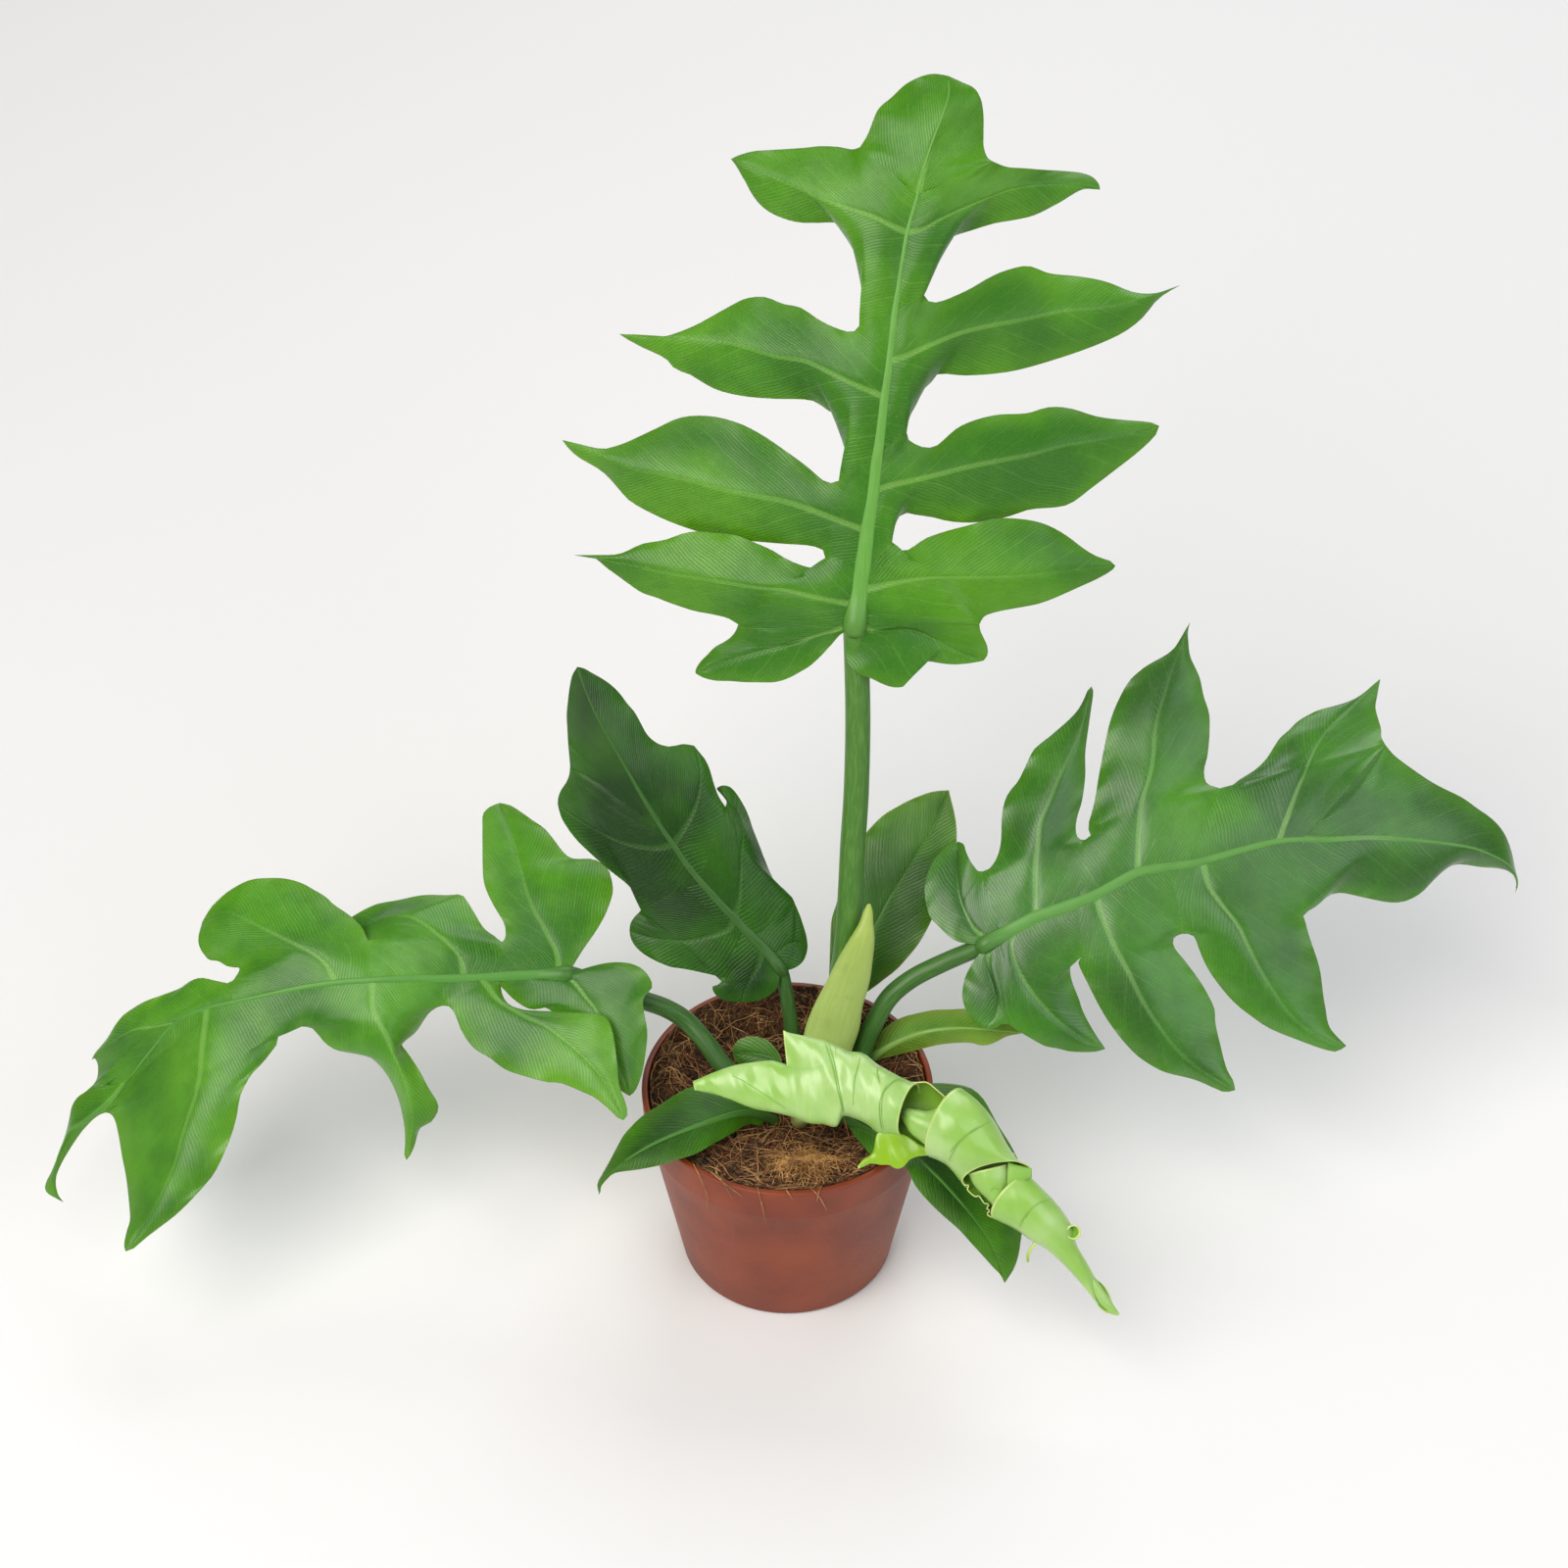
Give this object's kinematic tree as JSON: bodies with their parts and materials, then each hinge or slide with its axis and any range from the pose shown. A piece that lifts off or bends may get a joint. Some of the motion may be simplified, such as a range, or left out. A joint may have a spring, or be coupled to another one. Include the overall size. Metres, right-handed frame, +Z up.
{
  "type": "potted plant",
  "caption": "Philodendron distantilobum in a round plastic nursery pot: deeply lobed arching leaves on long stalks, uncut young leaves, a pointed sheath and a pale new leaf still rolled up.",
  "frame": {"origin": "centre of the pot's flat base", "axes": "+Z up, along the pot's axis; -Y towards the side the plant is seen from; +X to its right"},
  "size_m": [0.617, 0.2629, 0.467],
  "materials": {
    "terracotta_plastic": "satin",
    "coir": "matte",
    "green_leaf": "satin",
    "deep_leaf": "satin",
    "yellowing_leaf": "satin",
    "fresh_leaf": "satin",
    "sheath": "satin"
  },
  "bodies": {
    "root": {"pot": "terracotta_plastic", "soil": "coir", "crown": "sheath", "leaf_tall": "green_leaf", "leaf_left": "green_leaf", "leaf_right": "green_leaf", "leaf_dark": "deep_leaf", "leaf_back": "deep_leaf", "leaf_side": "yellowing_leaf", "leaf_front_left": "deep_leaf", "leaf_front_right": "deep_leaf", "leaf_seedling": "deep_leaf", "spear": "sheath", "leaf_new": "fresh_leaf"}
  },
  "joints": []
}
